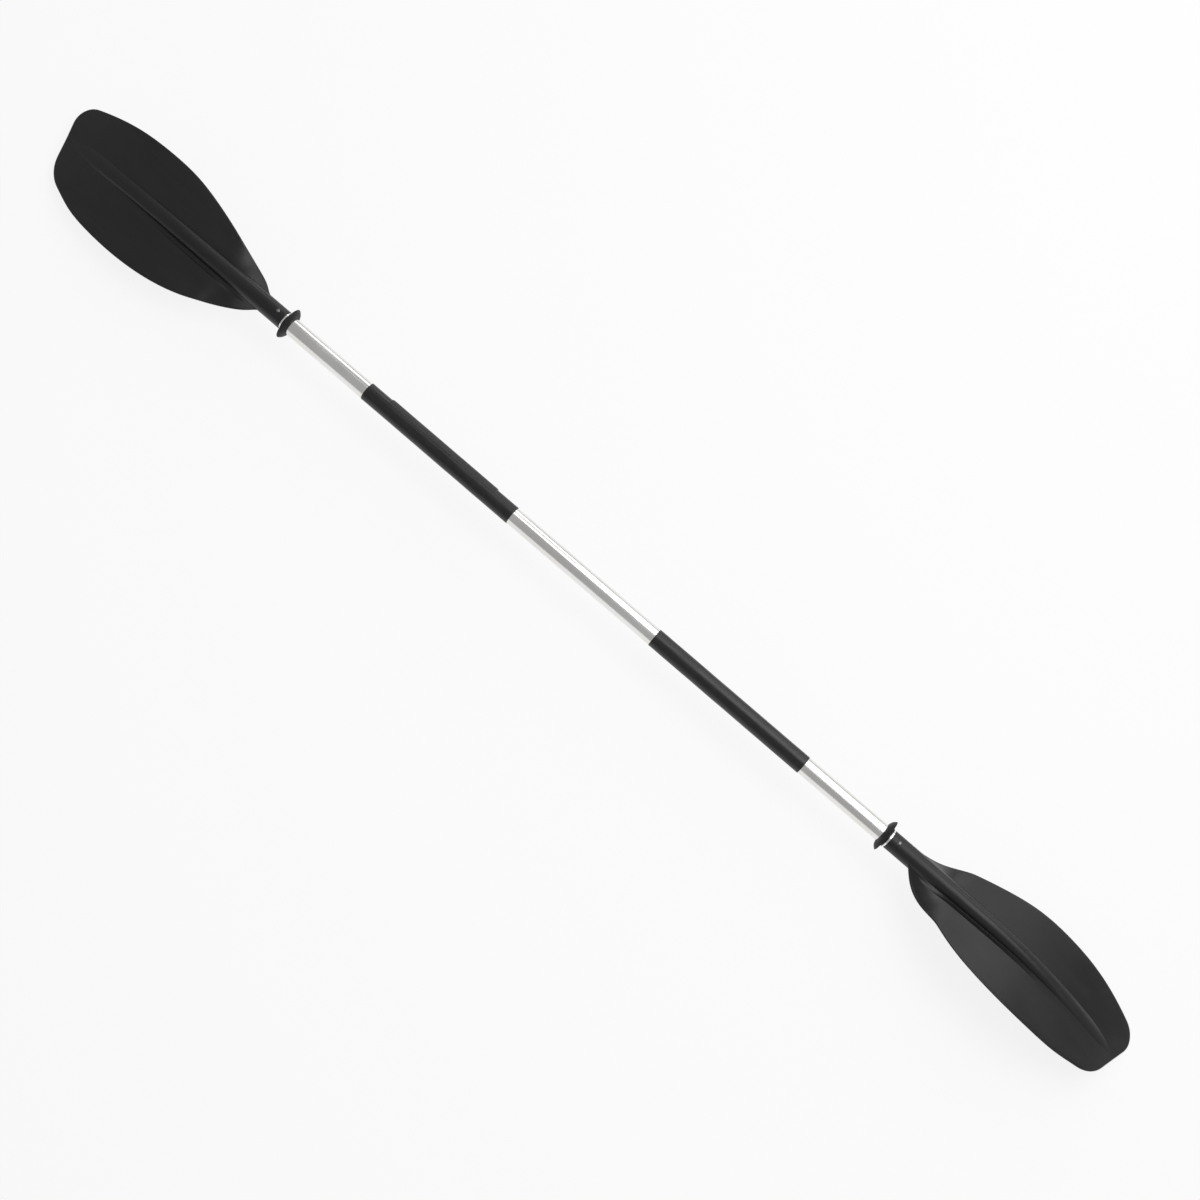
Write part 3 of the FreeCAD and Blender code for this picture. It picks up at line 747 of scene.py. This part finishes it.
camera_data = bpy.data.cameras.new("camera")
camera_data.lens = 58.95
camera_data.sensor_width = 36.0
camera_data.clip_end = 50.0
camera = bpy.data.objects.new("camera", camera_data)
bpy.context.scene.collection.objects.link(camera)
image_right = along_view * ROLL[0] + sideways * ROLL[1]
image_up = sideways * ROLL[0] - along_view * ROLL[1]
place = along_view * 0.0429 - sideways * 0.0108 + towards * 3.0
camera.matrix_world = Matrix((
    (image_right.x, image_up.x, towards.x, place.x),
    (image_right.y, image_up.y, towards.y, place.y),
    (image_right.z, image_up.z, towards.z, place.z),
    (0, 0, 0, 1)))
bpy.context.scene.camera = camera

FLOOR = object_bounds()[0][2] - 0.0005
floor_mesh = bpy.data.meshes.new("floor")
floor_mesh.from_pydata([(-6, -6, FLOOR), (6, -6, FLOOR), (6, 6, FLOOR), (-6, 6, FLOOR)], [],
                       [(0, 1, 2, 3)])
floor = bpy.data.objects.new("floor", floor_mesh)
bpy.context.scene.collection.objects.link(floor)
paper = Look("floor_paper", (0.92, 0.92, 0.92), 0.9, 0.0, 0.0)
rays = paper.tree.nodes.new("ShaderNodeLightPath")
seen = paper.total(rays.outputs["Is Camera Ray"], rays.outputs["Is Glossy Ray"], "MAXIMUM")
glow = paper.tree.nodes.new("ShaderNodeEmission")
paper.link(seen, glow.inputs["Strength"])
both = paper.tree.nodes.new("ShaderNodeMixShader")
both.inputs["Fac"].default_value = 0.85
paper.link(paper.shader.outputs[0], both.inputs[1])
paper.link(glow.outputs[0], both.inputs[2])
paper.link(both.outputs[0], paper.tree.nodes["Material Output"].inputs["Surface"])
floor.data.materials.append(paper.material)

world = bpy.data.worlds.new("studio")
world.use_nodes = True
world.node_tree.nodes["Background"].inputs["Color"].default_value = (1, 1, 1, 1)
world.node_tree.nodes["Background"].inputs["Strength"].default_value = 0.42
bpy.context.scene.world = world


def add_light(name, direction, distance, size, power):
    """Soft rectangular light that faces the middle of the paddle."""
    lamp = bpy.data.lights.new(name, "AREA")
    lamp.shape = "RECTANGLE"
    lamp.size, lamp.size_y = size
    lamp.energy = power
    light = bpy.data.objects.new(name, lamp)
    bpy.context.scene.collection.objects.link(light)
    heading = Vector(direction).normalized()
    light.location = heading * distance
    light.rotation_euler = heading.to_track_quat("Z", "Y").to_euler()
    return light


add_light("key", (0.25, 0.31, 0.95), 2.8, (2.6, 1.9), 34)
add_light("backdrop", (0.0, 0.88, 0.47), 3.0, (4.0, 1.4), 23)

bpy.context.scene.view_settings.view_transform = "Standard"
